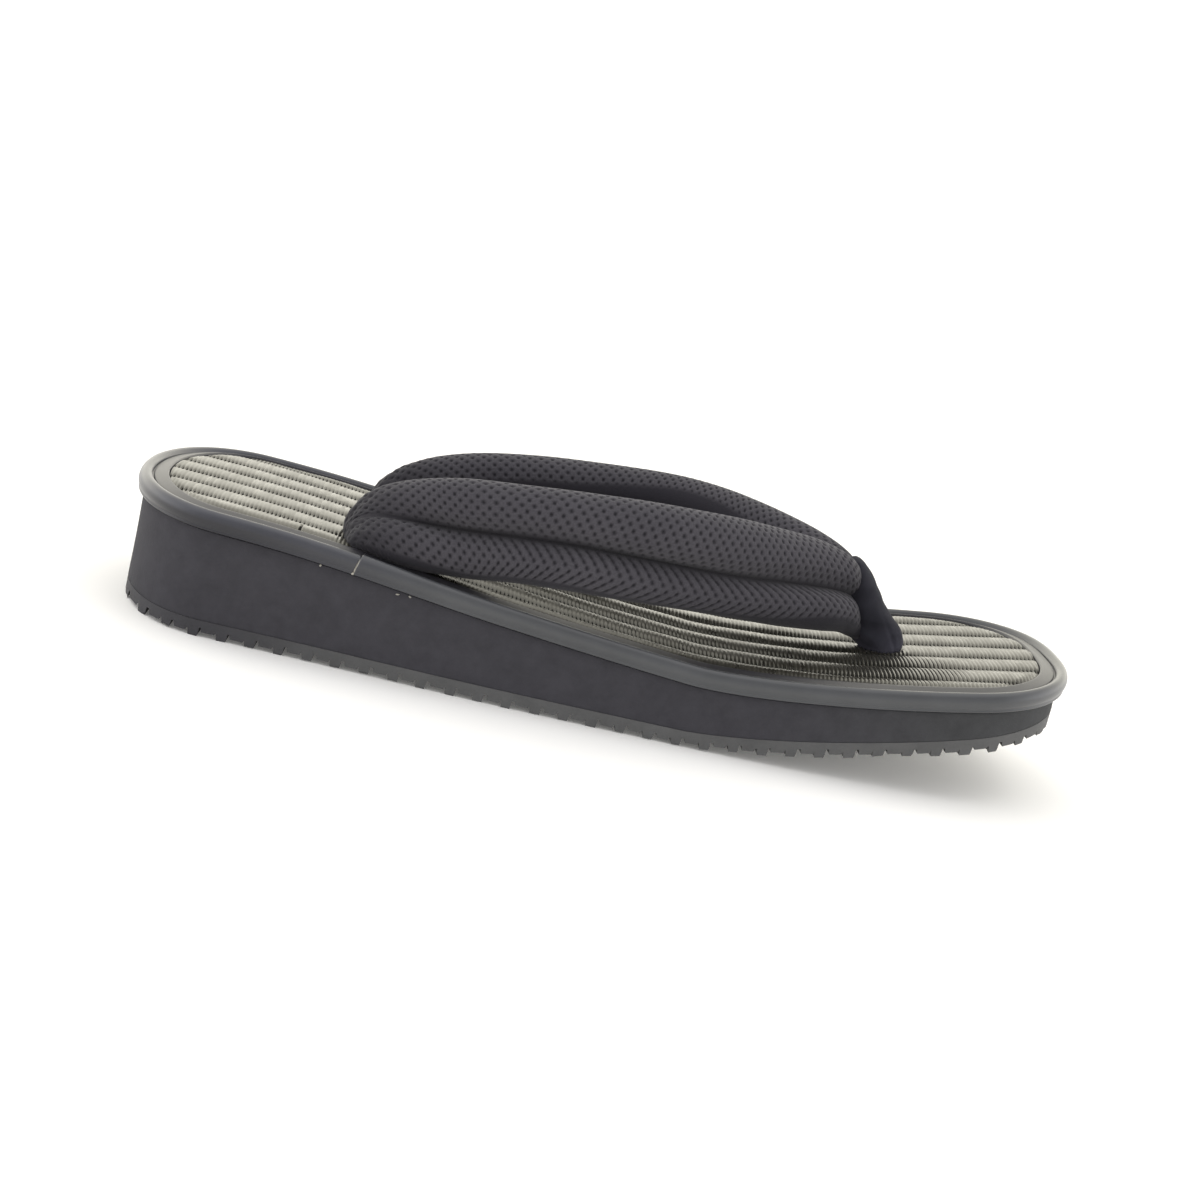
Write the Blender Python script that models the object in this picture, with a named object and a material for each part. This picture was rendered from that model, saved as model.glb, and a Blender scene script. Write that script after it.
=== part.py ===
"""Setta sandal: a moulded wedge sole with a ribbed mat, a soft rim and a padded thong.

Sizes are in millimetres in the sandal's own frame: x runs from the back of the heel to the
toe, y to the wearer's left, z up from the floor. The last step turns them into metres and
puts the origin under the middle of the sole.
"""
import math

import bmesh
import bpy
import numpy as np

MM = 0.001
GAP = 0.3                  # clearance between pieces that touch


class Table:
    """A short table of sizes with named columns."""

    def __init__(self, columns, *rows):
        self.columns = columns.split()
        self.rows = np.array(rows, float)

    def __getitem__(self, name):
        return self.rows[:, self.columns.index(name)]


# Plan and side view of the whole sole
LENGTH = 260.0
BALL = 155.0               # the sole lies flat on the floor up to here
TOE_SPRING = 22.2          # how far the tip of the toe stands off the floor
SPRING_POWER = 1.43
HEEL_ROUND = 29.0          # length and power of the rounding at the heel
HEEL_POWER = 2.1
TOE_ROUND = 33.0
TOE_POWER = 2.6

# Sections of the sole. The half width is the one before the ends are rounded.
SOLE_SECTIONS = Table(
    "x half_width thickness",
    (0.0, 46.2, 34.1),
    (45.0, 47.5, 32.4),
    (105.0, 50.4, 26.5),
    (150.0, 50.4, 22.6),
    (195.0, 49.8, 19.9),
    (235.0, 46.6, 17.0),
    (260.0, 41.0, 14.4),
)

# Layers of the sole, from the floor up
OUTSOLE_THICKNESS = 4.3
OUTSOLE_INSET = 2.0        # how far the rim stands out over the sole's wall
MIDSOLE_INSET = 2.0
RIM_HEIGHT = 5.4
MAT_SINK = 0.2             # the mat's ribs lie this far below the top of the rim

# Tread: in each pitch along the sole, the places where the depth of the cut changes
LUG_PITCH = 7.5
LUG_FIRST = 5.4
LUG_STEPS = Table(
    "start depth",
    (0.0, 2.1),            # a deep slit
    (0.85, 0.95),          # a low block
    (4.3, 1.6),            # a narrow slit
    (4.75, 0.0),           # a full block
)
STEP_WALL = 0.08           # length of the wall between two depths

# Section of the rim: distance in from its outer edge and down from its top
RIM_SECTION = Table(
    "inward down",
    (0.8, 5.4),
    (0.2, 4.5),
    (0.0, 3.0),
    (0.4, 1.5),
    (1.0, 0.4),
    (1.9, 0.0),
    (2.8, 0.15),
    (3.2, 0.5),
    (3.6, 1.2),
    (4.0, 0.55),
    (6.4, 0.55),
    (6.8, 1.0),
    (6.95, 2.0),
    (6.95, 5.4),
)
RIM_STEPS = 44             # steps along each side of the outline

# Footbed mat
MAT_RIB_PITCH = 12.6
MAT_RIBS = 7
MAT_RIB_HEIGHT = 1.3
RIB_STEPS = 4
MAT_INSET = 7.25

# Padded thong: sections of each arm, which is two tubes side by side, from its hole in the mat
# to the toe post. The y columns are distances from the centre line. The right arm stands up
# more than the left one.
ARM_COLUMNS = "upper_x upper_y upper_z lower_x lower_y lower_z upper_radius lower_radius"
RIGHT_ARM = Table(
    ARM_COLUMNS,
    (64.0, 22.8, 20.5, 66.0, 29.0, 20.5, 3.4, 3.4),
    (63.2, 23.4, 27.0, 66.4, 31.0, 26.8, 4.6, 4.6),
    (63.2, 24.6, 33.2, 67.2, 34.4, 31.0, 5.7, 5.6),
    (66.6, 28.0, 38.6, 70.4, 37.0, 33.2, 6.3, 6.1),
    (73.8, 32.1, 43.0, 77.0, 38.3, 34.5, 6.7, 6.6),
    (87.0, 35.8, 47.0, 90.7, 38.5, 35.4, 7.0, 6.8),
    (102.7, 37.3, 48.7, 103.4, 40.2, 37.4, 7.4, 6.6),
    (118.9, 37.4, 50.3, 117.2, 40.9, 38.4, 7.7, 6.5),
    (133.6, 36.5, 51.4, 131.3, 38.8, 38.6, 7.7, 6.5),
    (147.4, 33.4, 51.3, 146.1, 34.6, 38.8, 7.8, 6.5),
    (160.0, 27.3, 50.3, 160.6, 29.3, 38.5, 8.1, 6.5),
    (171.5, 19.6, 48.9, 174.6, 22.9, 37.8, 8.1, 6.6),
    (182.5, 11.8, 47.4, 186.6, 15.6, 37.5, 7.9, 6.6),
    (190.6, 6.8, 46.1, 195.2, 9.8, 37.4, 7.0, 6.6),
    (196.0, 4.4, 45.3, 199.8, 6.2, 37.6, 5.7, 6.2),
    (199.6, 3.0, 44.2, 202.6, 4.4, 37.4, 4.6, 5.2),
    (202.2, 2.4, 42.6, 204.8, 3.4, 37.6, 2.8, 3.2),
)
LEFT_ARM = Table(
    ARM_COLUMNS,
    (66.0, 22.8, 20.5, 68.0, 29.0, 20.5, 3.4, 3.4),
    (65.4, 23.2, 27.0, 68.6, 31.0, 26.8, 4.6, 4.6),
    (66.0, 24.2, 32.2, 69.6, 34.0, 31.2, 5.7, 5.4),
    (69.8, 26.4, 36.2, 73.4, 36.8, 33.6, 6.2, 5.9),
    (77.0, 29.2, 39.8, 80.4, 39.0, 34.8, 6.6, 6.4),
    (89.0, 31.6, 43.1, 92.0, 40.4, 35.1, 7.0, 6.7),
    (103.5, 33.0, 45.3, 104.2, 40.7, 35.9, 7.4, 6.6),
    (119.0, 33.6, 47.1, 117.5, 40.2, 36.7, 7.6, 6.5),
    (133.6, 33.3, 48.6, 131.3, 37.9, 37.1, 7.7, 6.5),
    (147.4, 31.2, 49.3, 146.1, 33.6, 37.8, 7.8, 6.5),
    (160.0, 26.2, 49.0, 160.6, 28.2, 37.9, 8.0, 6.5),
    (171.5, 19.2, 48.2, 174.6, 22.5, 37.7, 8.0, 6.6),
    (182.5, 11.8, 46.8, 186.6, 15.6, 37.4, 7.8, 6.6),
    (190.6, 6.8, 45.6, 195.2, 9.8, 37.4, 7.0, 6.6),
    (196.0, 4.4, 45.0, 199.8, 6.2, 37.6, 5.7, 6.2),
    (199.6, 3.0, 44.2, 202.6, 4.4, 37.4, 4.6, 5.2),
    (202.2, 2.4, 42.6, 204.8, 3.4, 37.6, 2.8, 3.2),
)
LOBE_SPREAD = (0.7, 0.93)  # least and most distance of the tubes, in sums of their radii
LOBE_POINTS = 9
ARM_STEPS = 2              # sections drawn for each row of the table

# Toe post: it stands in the mat and widens into a hood that holds the thong's front end
POST_SECTIONS = Table(
    "z back widest front half_width",
    (19.0, 206.0, 210.0, 214.0, 4.5),
    (25.5, 205.2, 210.0, 215.2, 5.0),
    (28.4, 201.0, 208.0, 216.1, 6.4),
    (30.8, 196.5, 204.6, 216.0, 8.6),
    (34.0, 194.0, 202.8, 213.4, 10.8),
    (38.0, 193.4, 201.6, 209.0, 11.0),
    (42.0, 193.4, 200.4, 205.8, 9.2),
    (46.0, 193.6, 199.0, 203.4, 7.4),
    (48.6, 194.4, 197.8, 200.4, 5.8),
    (50.0, 195.4, 197.2, 198.8, 4.2),
)
POST_POINTS = 24
POST_BACK_POWER = 1.6      # how square the back and the front of each section are
POST_FRONT_POWER = 1.9


def between(xs, ys, x):
    """The value at x of a smooth curve through the points xs, ys."""
    slopes = np.gradient(ys, xs)
    x = min(max(x, xs[0]), xs[-1])
    i = min(int(np.searchsorted(xs, x, side="right")) - 1, len(xs) - 2)
    width = xs[i + 1] - xs[i]
    t = (x - xs[i]) / width
    rise = (2 * t**3 - 3 * t**2 + 1) * ys[i] + (3 * t**2 - 2 * t**3) * ys[i + 1]
    return rise + width * ((t**3 - 2 * t**2 + t) * slopes[i] + (t**3 - t**2) * slopes[i + 1])


def rounding(distance, length, power):
    """How much of the full width is left at a distance from a rounded end."""
    return (1.0 - max(0.0, 1.0 - distance / length) ** power) ** (1.0 / power)


def half_width(x):
    """Half the width of the sandal's outline."""
    ends = min(rounding(x, HEEL_ROUND, HEEL_POWER), rounding(LENGTH - x, TOE_ROUND, TOE_POWER))
    return between(SOLE_SECTIONS["x"], SOLE_SECTIONS["half_width"], x) * ends


def floor_line(x):
    """Height of the sole's underside: flat under heel and ball, then rising to the toe."""
    return TOE_SPRING * max(0.0, (x - BALL) / (LENGTH - BALL)) ** SPRING_POWER


def top_line(x):
    """Height of the top of the rim."""
    return floor_line(x) + between(SOLE_SECTIONS["x"], SOLE_SECTIONS["thickness"], x)


def outline(inset, steps):
    """The left half of the outline moved in by a distance, from heel to toe, with its normals."""
    def point(t):
        x = LENGTH * (1.0 - math.cos(math.pi * t)) / 2.0
        return np.array((x, half_width(x)))

    half = []
    small = 0.002
    for k in range(steps + 1):
        t = k / steps
        along = point(min(t + small, 1.0)) - point(max(t - small, 0.0))
        if k in (0, steps):
            along = np.array((0.0, 1.0 if k == 0 else -1.0))
        normal = np.array((-along[1], along[0])) / np.hypot(*along)
        place = point(t) - normal * inset
        if k in (0, steps):
            place[1] = 0.0
        half.append((place, normal))
    return half


def width_at(inset):
    """A function that gives the half width of the moved-in outline at any x."""
    half = [place for place, _ in outline(inset, 400)]
    xs = [place[0] for place in half]
    ys = [place[1] for place in half]
    return lambda x: float(np.interp(x, xs, ys))


def stations(low, high, count):
    """Values of x from low to high, closer together at both ends."""
    middle = (low + high) / 2.0
    reach = (high - low) / 2.0
    return [middle - reach * math.cos(math.pi * k / count) for k in range(count + 1)]


def material(name, color, roughness, metallic=0.0):
    """A Principled material of one colour."""
    finish = bpy.data.materials.new(name)
    finish.use_nodes = True
    shader = finish.node_tree.nodes["Principled BSDF"]
    shader.inputs["Base Color"].default_value = (*color, 1.0)
    shader.inputs["Roughness"].default_value = roughness
    shader.inputs["Metallic"].default_value = metallic
    return finish


def new_object(name, mesh, home, finish=None):
    """Turn a bmesh in millimetres into an object in metres, centred under the sole."""
    for vert in mesh.verts:
        vert.co.x -= LENGTH / 2.0
    bmesh.ops.scale(mesh, vec=(MM, MM, MM), verts=mesh.verts)
    bmesh.ops.recalc_face_normals(mesh, faces=mesh.faces)
    data = bpy.data.meshes.new(name)
    mesh.to_mesh(data)
    mesh.free()
    data.shade_smooth()
    data.set_sharp_from_angle(angle=math.radians(35.0))
    thing = bpy.data.objects.new(name, data)
    home.objects.link(thing)
    if finish is not None:
        data.materials.append(finish)
    else:
        thing.hide_render = True
        thing.display_type = "WIRE"
    return thing


def layer(rows, width, low, high):
    """A layer of the sole: cross strips from heel to toe between two heights."""
    mesh = bmesh.new()
    rungs = []
    for x in rows:
        half = width(x)
        sides = (0.0,) if half < 0.01 else (-half, half)
        under = [mesh.verts.new((x, y, low(x))) for y in sides]
        over = [mesh.verts.new((x, y, high(x))) for y in sides]
        rungs.append((under, over))
    for (under_a, over_a), (under_b, over_b) in zip(rungs, rungs[1:]):
        mesh.faces.new(under_a + under_b[::-1])
        mesh.faces.new(over_a[::-1] + over_b)
        for side in (0, -1):
            mesh.faces.new((under_a[side], under_b[side], over_b[side], over_a[side]))
    for under, over in (rungs[0], rungs[-1]):
        if len(under) == 2:
            mesh.faces.new((under[0], under[1], over[1], over[0]))
    return mesh


def tube(rings):
    """A closed solid through rings that have the same number of points."""
    mesh = bmesh.new()
    loops = [[mesh.verts.new(point) for point in ring] for ring in rings]
    count = len(loops[0])
    for near, far in zip(loops, loops[1:]):
        for k in range(count):
            mesh.faces.new((near[k], near[(k + 1) % count], far[(k + 1) % count], far[k]))
    mesh.faces.new(loops[0][::-1])
    mesh.faces.new(loops[-1])
    return mesh


def tread_places(low, high):
    """Places along the sole where the depth of the tread changes, and the depths there."""
    places = []
    for k in range(int((high - LUG_FIRST) / LUG_PITCH)):
        before = LUG_STEPS["depth"][-1]
        for start, depth in LUG_STEPS.rows:
            x = LUG_FIRST + k * LUG_PITCH + start
            places += [(x, before), (x + STEP_WALL, depth)]
            before = depth
    return np.array([(x, depth) for x, depth in places if low < x < high]).T


def make_outsole(home):
    """The tread sheet, with a row on both sides of each wall of the tread."""
    low = OUTSOLE_INSET
    high = LENGTH - OUTSOLE_INSET
    walls, depths = tread_places(low, high)
    rows = list(walls)
    for x in stations(low, high, 60):
        at_end = x < HEEL_ROUND or x > LENGTH - TOE_ROUND
        if at_end and np.abs(walls - x).min() > 2.0 * STEP_WALL:
            rows.append(x)
    mesh = layer(
        sorted(rows),
        width_at(OUTSOLE_INSET),
        lambda x: floor_line(x) + np.interp(x, walls, depths, 0.0, 0.0),
        lambda x: floor_line(x) + OUTSOLE_THICKNESS,
    )
    return new_object("outsole", mesh, home, material("tread rubber", (0.085, 0.087, 0.087), 0.6))


def bed_line(x):
    """Height of the midsole's top, which carries the rim and the mat."""
    return top_line(x) - RIM_HEIGHT - GAP


def make_midsole(home):
    mesh = layer(
        stations(MIDSOLE_INSET, LENGTH - MIDSOLE_INSET, 40),
        width_at(MIDSOLE_INSET),
        lambda x: floor_line(x) + OUTSOLE_THICKNESS + GAP,
        bed_line,
    )
    return new_object("midsole", mesh, home, material("foam", (0.022, 0.021, 0.023), 0.85))


def make_rim(home):
    """A ring with the rim's section all the way round."""
    half = outline(0.0, RIM_STEPS)
    around = half + [
        (place * (1.0, -1.0), normal * (1.0, -1.0)) for place, normal in half[-2:0:-1]
    ]
    mesh = bmesh.new()
    loops = []
    for place, normal in around:
        loop = []
        for inward, down in RIM_SECTION.rows:
            x, y = place - normal * inward
            loop.append(mesh.verts.new((x, y, top_line(x) - down)))
        loops.append(loop)
    count = len(RIM_SECTION.rows)
    for near, far in zip(loops, loops[1:] + loops[:1]):
        for k in range(count):
            mesh.faces.new((near[k], near[(k + 1) % count], far[(k + 1) % count], far[k]))
    return new_object("rim", mesh, home, material("rim vinyl", (0.05, 0.051, 0.053), 0.38))


def make_footbed(home):
    """The mat: lengthwise ribs that the outline cuts off, with a plain underside."""
    width = width_at(MAT_INSET)
    low = MAT_INSET
    high = LENGTH - MAT_INSET
    count = MAT_RIBS * RIB_STEPS
    edge = MAT_RIBS * MAT_RIB_PITCH / 2.0
    mesh = bmesh.new()
    tops = []
    for x in stations(low, high, 34)[1:-1]:
        half = width(x)
        row = []
        for k in range(count + 1):
            y = min(max(-edge + k * MAT_RIB_PITCH / RIB_STEPS, -half), half)
            y = -half if k == 0 else half if k == count else y
            swell = MAT_RIB_HEIGHT * abs(math.sin(math.pi * (y + edge) / MAT_RIB_PITCH)) ** 0.7
            row.append(mesh.verts.new((x, y, top_line(x) - MAT_SINK - MAT_RIB_HEIGHT + swell)))
        tops.append(row)
    for near, far in zip(tops, tops[1:]):
        for k in range(count):
            mesh.faces.new((near[k], near[k + 1], far[k + 1], far[k]))
    feet = []
    for row in tops:
        ends = []
        for vert in (row[0], row[-1]):
            x = vert.co.x
            ends.append(mesh.verts.new((x, vert.co.y, bed_line(x) + GAP)))
        feet.append(ends)
    for k, (near, far) in enumerate(zip(feet, feet[1:])):
        mesh.faces.new((near[0], far[0], far[1], near[1]))
        for side in (0, -1):
            mesh.faces.new((tops[k][side], tops[k + 1][side], far[side], near[side]))
    for row, ends in ((tops[0], feet[0]), (tops[-1], feet[-1])):
        mesh.faces.new(row + [ends[1], ends[0]])
    bmesh.ops.remove_doubles(mesh, verts=mesh.verts, dist=0.01)
    return new_object("footbed_mat", mesh, home, material("mat vinyl", (0.06, 0.055, 0.05), 0.3))


def arm_ring(row, along, grow):
    """One section of the thong: two round tubes one above the other with a valley between."""
    upper, lower, radii = row[0:3], row[3:6], row[6:8]
    middle = (upper + lower) / 2.0
    band = upper - lower
    apart = np.linalg.norm(band)
    band = band / apart
    apart = min(max(apart, LOBE_SPREAD[0] * sum(radii)), LOBE_SPREAD[1] * sum(radii))
    side = np.cross(along, band)
    side = side / np.linalg.norm(side)
    ring = []
    for lobe, radius, other in ((1.0, *radii), (-1.0, *radii[::-1])):
        valley = (apart**2 + radius**2 - other**2) / (2.0 * apart)
        most = math.pi - math.acos(valley / radius)
        reach = radius + grow
        for k in range(LOBE_POINTS - 1):
            turn = most * (2.0 * k / (LOBE_POINTS - 1) - 1.0)
            across = apart / 2.0 + (reach * math.cos(turn) if k else -valley)
            out = reach * math.sin(turn)
            ring.append(middle + lobe * (band * across + side * out))
    return ring


def arm_rows(table):
    """The table of an arm's sections with smooth rows put in between."""
    count = len(table.rows)
    return [
        np.array([between(np.arange(count), column, k / ARM_STEPS) for column in table.rows.T])
        for k in range((count - 1) * ARM_STEPS + 1)
    ]


def make_arm(name, home, table, side, grow=0.0, finish=None):
    """One arm of the thong, on the wearer's left for side 1 and on the right for side -1."""
    rows = arm_rows(table)
    middles = [(row[0:3] + row[3:6]) / 2.0 for row in rows]
    rings = []
    for k, row in enumerate(rows):
        along = middles[min(k + 1, len(rows) - 1)] - middles[max(k - 1, 0)]
        along = along / np.linalg.norm(along)
        if k in (0, len(rows) - 1):
            reach = grow if k else -grow
            row[0:3] += along * reach
            row[3:6] += along * reach
        rings.append([point * (1.0, side, 1.0) for point in arm_ring(row, along, grow)])
    return new_object(name, tube(rings), home, finish)


def make_straps(home, cutters, name="straps", grow=0.0, finish=None):
    """Both arms of the thong, joined where they meet at the toe post."""
    left = make_arm(name, home, LEFT_ARM, 1.0, grow, finish)
    right = make_arm(name + "_right_arm", cutters, RIGHT_ARM, -1.0, grow)
    combine(left, right, "UNION")
    return left


def make_post(home, name="toe_post", grow=0.0, finish=None):
    """The toe post before its hood is opened for the thong."""
    rings = []
    for z, back, widest, front, half_width in POST_SECTIONS.rows:
        ring = []
        for k in range(POST_POINTS):
            turn = 2.0 * math.pi * k / POST_POINTS
            c = math.cos(turn)
            s = math.sin(turn)
            if c < 0.0:
                reach, power = widest - back + grow, POST_BACK_POWER
            else:
                reach, power = front - widest + grow, POST_FRONT_POWER
            x = widest + math.copysign(abs(c) ** (2.0 / power), c) * reach
            y = math.copysign(abs(s) ** (2.0 / power), s) * (half_width + grow)
            ring.append((x, y, z))
        rings.append(ring)
    rings[0] = [(x, y, z - grow) for x, y, z in rings[0]]
    rings[-1] = [(x, y, z + grow) for x, y, z in rings[-1]]
    return new_object(name, tube(rings), home, finish)


def combine(thing, other, operation):
    """Join another object to a piece, or take the other's space out of it."""
    boolean = thing.modifiers.new(other.name, "BOOLEAN")
    boolean.operation = operation
    boolean.solver = "EXACT"
    boolean.object = other


def main():
    for thing in list(bpy.data.objects):
        bpy.data.objects.remove(thing)
    home = bpy.data.collections.new("setta_sandal")
    cutters = bpy.data.collections.new("cutters")
    bpy.context.scene.collection.children.link(home)
    bpy.context.scene.collection.children.link(cutters)

    make_outsole(home)
    midsole = make_midsole(home)
    make_rim(home)
    footbed = make_footbed(home)
    make_straps(home, cutters, finish=material("mesh cloth", (0.02, 0.019, 0.022), 0.9))
    post = make_post(home, finish=material("velvet", (0.012, 0.012, 0.015), 0.95))

    strap_room = make_straps(cutters, cutters, "room_for_straps", GAP)
    post_room = make_post(cutters, "room_for_post", GAP)
    combine(post, strap_room, "DIFFERENCE")
    for sole_piece in (midsole, footbed):
        combine(sole_piece, strap_room, "DIFFERENCE")
        combine(sole_piece, post_room, "DIFFERENCE")


main()
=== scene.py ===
"""The looks of the setta sandal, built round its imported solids.

Lengths of the pieces are in millimetres in the sandal's own frame, with x from the back of the
heel to the toe, y to the wearer's left and z up from the floor. add_piece places them.
"""
import math

import bmesh
import bpy
import numpy as np
from mathutils import Matrix, Vector


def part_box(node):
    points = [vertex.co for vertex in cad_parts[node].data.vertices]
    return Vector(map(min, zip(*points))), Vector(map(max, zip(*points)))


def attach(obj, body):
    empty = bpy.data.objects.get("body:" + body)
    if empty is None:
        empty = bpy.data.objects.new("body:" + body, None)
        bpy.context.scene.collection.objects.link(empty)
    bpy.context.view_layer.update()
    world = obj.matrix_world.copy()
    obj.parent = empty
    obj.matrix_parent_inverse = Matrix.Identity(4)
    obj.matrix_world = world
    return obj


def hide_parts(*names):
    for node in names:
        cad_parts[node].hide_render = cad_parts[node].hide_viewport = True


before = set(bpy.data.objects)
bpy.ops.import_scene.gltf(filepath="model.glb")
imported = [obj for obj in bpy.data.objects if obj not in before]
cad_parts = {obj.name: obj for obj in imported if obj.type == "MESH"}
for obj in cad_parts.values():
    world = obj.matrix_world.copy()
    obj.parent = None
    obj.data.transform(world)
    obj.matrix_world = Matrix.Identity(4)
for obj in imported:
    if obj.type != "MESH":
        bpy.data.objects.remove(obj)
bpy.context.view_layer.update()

# ------------------------------------------------------------------------------- outsole
# A sheet of dark moulded rubber, glued under the foam wedge. Its tread is rows of small blocks
# between notches across the sole and grooves along it, so that the edges of the sheet look
# like a row of teeth from the side and from the toe.

MM = 0.001
HEEL_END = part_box("rim")[0][0] / MM
LENGTH = (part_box("rim")[1][0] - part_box("rim")[0][0]) / MM

BALL = 155.0               # flat on the floor up to here
TOE_SPRING = 22.2          # height of the tip of the toe
SPRING_POWER = 1.43
HEEL_ROUND = 29.0          # length of the rounded end, and the power of its curve
HEEL_POWER = 2.1
TOE_ROUND = 33.0
TOE_POWER = 2.6
# x, half width before the ends are rounded, whole thickness
SOLE_SECTIONS = (
    (0.0, 46.2, 34.1),
    (45.0, 47.5, 32.4),
    (105.0, 50.4, 26.5),
    (150.0, 50.4, 22.6),
    (195.0, 49.8, 19.9),
    (235.0, 46.6, 17.0),
    (260.0, 41.0, 14.4),
)

OUTSOLE_THICKNESS = 4.3
OUTSOLE_INSET = 2.0        # the rim stands out this far over the sheet
PLAIN_EDGE = 1.2           # the notches stop this far under the foam
# one pitch of the tread: where each step of its edge starts, and how far it is cut back
LUG_PITCH = 7.5
LUG_FIRST = 5.4
LUG_STEPS = (
    (0.0, 2.1),            # a deep slit
    (0.85, 0.95),          # a low block
    (4.3, 1.6),            # a narrow slit
    (4.75, 0.0),           # a full block
)
STEP_SLOPE = 0.35          # the length over which one step turns into the next
WEAR = 0.35                # how unevenly the blocks are cut and worn
GROOVE = (1.1, 0.9)        # width and depth of the grooves along the sole
GROOVE_PITCH = 5.2
GROOVES = 9                # on each side of the middle one


def between(table, column, x):
    """One column of a table at each x, on a smooth curve through its rows."""
    xs = np.array([row[0] for row in table], float)
    ys = np.array([row[column] for row in table], float)
    slopes = np.gradient(ys, xs)
    x = np.clip(np.asarray(x, float), xs[0], xs[-1])
    i = np.clip(np.searchsorted(xs, x, side="right") - 1, 0, len(xs) - 2)
    width = xs[i + 1] - xs[i]
    t = (x - xs[i]) / width
    rise = (2 * t**3 - 3 * t**2 + 1) * ys[i] + (3 * t**2 - 2 * t**3) * ys[i + 1]
    return rise + width * ((t**3 - 2 * t**2 + t) * slopes[i] + (t**3 - t**2) * slopes[i + 1])


def smooth_step(low, high, value):
    """0 below low, 1 above high, and a smooth rise between them."""
    t = np.clip((value - low) / (high - low), 0.0, 1.0)
    return t * t * (3.0 - 2.0 * t)


def rounding(distance, length, power):
    """How much of the full width is left at a distance from a rounded end."""
    return (1.0 - np.clip(1.0 - distance / length, 0.0, 1.0) ** power) ** (1.0 / power)


def half_width(x):
    ends = np.minimum(
        rounding(x, HEEL_ROUND, HEEL_POWER), rounding(LENGTH - x, TOE_ROUND, TOE_POWER)
    )
    return between(SOLE_SECTIONS, 1, x) * ends


def floor_line(x):
    """Height of the sole's underside."""
    return TOE_SPRING * np.clip((x - BALL) / (LENGTH - BALL), 0.0, None) ** SPRING_POWER


def top_line(x):
    """Height of the top of the rim."""
    return floor_line(x) + between(SOLE_SECTIONS, 2, x)


def outline(steps):
    """The left half of the outline from heel to toe, and its outward normals, evenly spaced."""
    t = np.linspace(0.0, math.pi, 4001)
    x = LENGTH * (1.0 - np.cos(t)) / 2.0
    line = np.stack((x, half_width(x)), 1)
    run = np.concatenate(([0.0], np.cumsum(np.hypot(*np.diff(line, axis=0).T))))
    along = np.gradient(line, axis=0)
    along[0] = (0.0, 1.0)
    along[-1] = (0.0, -1.0)
    along /= np.hypot(*along.T)[:, None]
    normal = np.stack((-along[:, 1], along[:, 0]), 1)
    at = np.linspace(0.0, run[-1], steps + 1)
    place = np.stack([np.interp(at, run, line[:, k]) for k in (0, 1)], 1)
    facing = np.stack([np.interp(at, run, normal[:, k]) for k in (0, 1)], 1)
    return place, facing / np.hypot(*facing.T)[:, None]


def width_at(inset):
    """A function that gives the half width of the moved-in outline at any x."""
    place, normal = outline(2000)
    moved = place - normal * inset
    moved[[0, -1], 1] = 0.0
    return lambda x: np.interp(x, moved[:, 0], moved[:, 1])


def grid_faces(rows, columns, round_rows=False, round_columns=False):
    """The quads of a grid of points that are numbered row by row."""
    down = np.arange(rows if round_rows else rows - 1)
    over = np.arange(columns if round_columns else columns - 1)
    r, c = np.meshgrid(down, over, indexing="ij")
    r2 = (r + 1) % rows
    c2 = (c + 1) % columns
    corners = (r * columns + c, r * columns + c2, r2 * columns + c2, r2 * columns + c)
    return np.stack(corners, -1).reshape(-1, 4)


def add_piece(name, points, faces, replaces, finish, places=None, sharp=60.0):
    """A piece from points in millimetres, which stands in for a CAD node and hides it.

    places gives each point its place on the cloth or strip that covers the piece.
    """
    points = np.asarray(points, float).reshape(-1, 3)
    mesh = bpy.data.meshes.new(name)
    moved = (points + (HEEL_END, 0.0, 0.0)) * MM
    mesh.from_pydata(moved.tolist(), [], [tuple(face) for face in faces])
    if places is not None:
        layer = mesh.attributes.new("cloth_place", "FLOAT_VECTOR", "POINT")
        layer.data.foreach_set("vector", np.asarray(places, np.float32).ravel())
    weld(mesh)
    mesh.shade_smooth()
    mesh.set_sharp_from_angle(angle=math.radians(sharp))
    mesh.materials.append(finish)
    piece = bpy.data.objects.new(name, mesh)
    bpy.context.scene.collection.objects.link(piece)
    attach(piece, "root")
    if replaces:
        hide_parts(replaces)
    return piece


def weld(mesh):
    """Joins points that lie on each other, and turns all faces outwards."""
    work = bmesh.new()
    work.from_mesh(mesh)
    bmesh.ops.remove_doubles(work, verts=work.verts, dist=2e-6)
    bmesh.ops.recalc_face_normals(work, faces=work.faces)
    work.to_mesh(mesh)
    work.free()


def tread_steps(low, high):
    """Places along the sole and how far the tread is cut back there."""
    chance = np.random.default_rng(5)
    places = []
    last = LUG_STEPS[-1][1]
    for k in range(int((high - LUG_FIRST) / LUG_PITCH)):
        for start, depth in LUG_STEPS:
            x = LUG_FIRST + k * LUG_PITCH + start + chance.uniform(-WEAR, WEAR) * 0.5
            depth = depth + chance.uniform(0.0, WEAR)
            for share in (0.0, 0.3, 0.7, 1.0):
                rise = float(smooth_step(0.0, 1.0, share))
                places.append((x + STEP_SLOPE * share, last + (depth - last) * rise))
            last = depth
    return [(x, depth) for x, depth in places if low < x < high]


def groove_steps():
    """Places across the sole and the depth of its lengthwise grooves there."""
    width, depth = GROOVE
    # from a groove's middle to its rim, halfway down its side and to its flat, in its widths
    rim, halfway, flat = 0.62, 0.45, 0.32
    beyond = (GROOVES + 2) * GROOVE_PITCH
    places = [(-beyond, 0.0)]
    for k in range(-GROOVES, GROOVES + 1):
        for off in (-rim, -halfway, -flat, flat, halfway, rim):
            share = float(smooth_step(rim, flat, abs(off)))
            places.append((k * GROOVE_PITCH + off * width, share * depth))
    return [*places, (beyond, 0.0)]


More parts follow.
